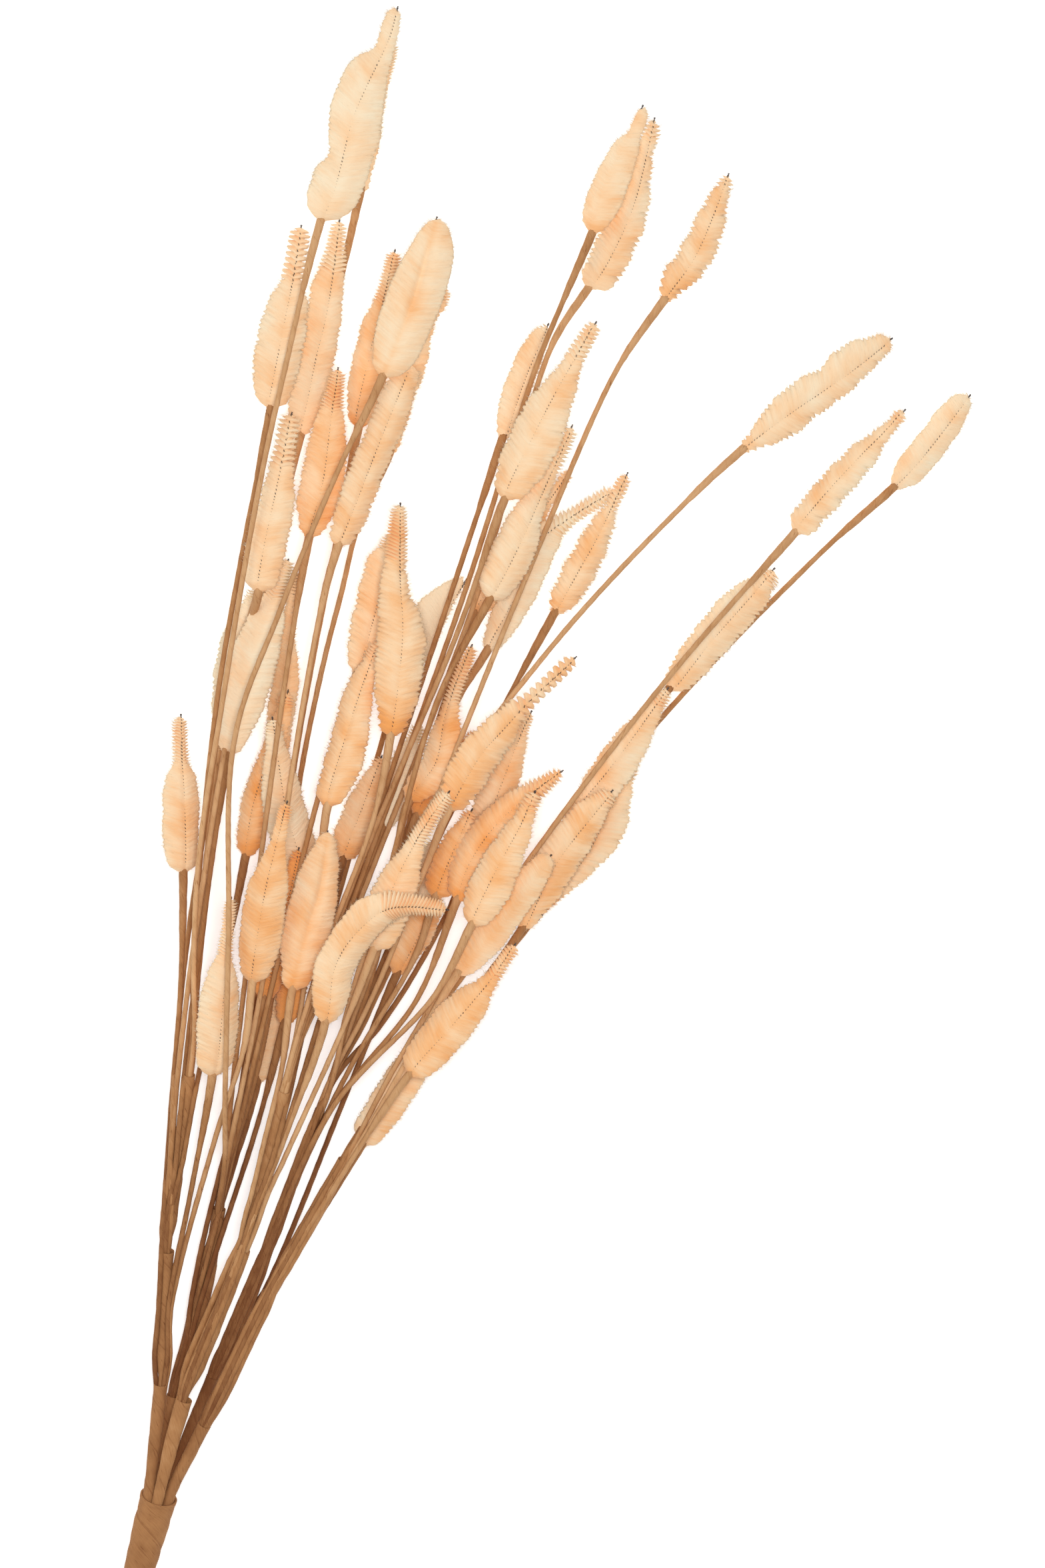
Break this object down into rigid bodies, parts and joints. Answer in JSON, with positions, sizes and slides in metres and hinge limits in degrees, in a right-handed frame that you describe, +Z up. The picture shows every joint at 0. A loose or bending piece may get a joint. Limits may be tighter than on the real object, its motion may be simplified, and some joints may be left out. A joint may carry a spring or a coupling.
{
  "type": "artificial bunny tail grass bundle",
  "caption": "Spray of fluffy bunny tail heads on paper-taped wire stems, gathered in five taped branches and one taped handle, lying on a table.",
  "frame": {"origin": "on the table under the middle of the bundle's box", "axes": "+Y along the bundle from the taped handle to the heads, +X across the spread of the heads, +Z up from the table"},
  "size_m": [0.4262, 0.7978, 0.0718],
  "materials": {
    "pile": "soft peach chenille pile, matt",
    "tape": "brown crepe paper tape, matt",
    "wire": "dark annealed twisted wire, dull"
  },
  "bodies": {
    "root": {"branch_left_back": "tape", "branch_left_front": "tape", "branch_middle": "tape", "branch_right_back": "tape", "branch_right_front": "tape", "head_left_back_01": "pile", "head_left_back_02": "pile", "head_left_back_03": "pile", "head_left_back_04": "pile", "head_left_back_05": "pile", "head_left_back_06": "pile", "head_left_back_07": "pile", "head_left_back_08": "pile", "head_left_back_10": "pile", "head_left_back_11": "pile", "head_left_front_01": "pile", "head_left_front_02": "pile", "head_left_front_03": "pile", "head_left_front_04": "pile", "head_left_front_05": "pile", "head_left_front_06": "pile", "head_left_front_07": "pile", "head_left_front_08": "pile", "head_left_front_09": "pile", "head_left_front_10": "pile", "head_left_front_11": "pile", "head_middle_01": "pile", "head_middle_02": "pile", "head_middle_03": "pile", "head_middle_04": "pile", "head_middle_05": "pile", "head_middle_06": "pile", "head_middle_07": "pile", "head_middle_08": "pile", "head_middle_09": "pile", "head_middle_10": "pile", "head_middle_11": "pile", "head_middle_12": "pile", "head_right_back_01": "pile", "head_right_back_02": "pile", "head_right_back_03": "pile", "head_right_back_05": "pile", "head_right_back_06": "pile", "head_right_back_07": "pile", "head_right_back_08": "pile", "head_right_back_09": "pile", "head_right_back_10": "pile", "head_right_back_11": "pile", "head_right_back_14": "pile", "head_right_back_15": "pile", "head_right_front_01": "pile", "head_right_front_02": "pile", "head_right_front_03": "pile", "head_right_front_04": "pile", "head_right_front_05": "pile", "head_right_front_06": "pile", "head_right_front_07": "pile", "head_right_front_08": "pile", "head_right_front_09": "pile", "main_wrap": "tape"}
  },
  "joints": []
}
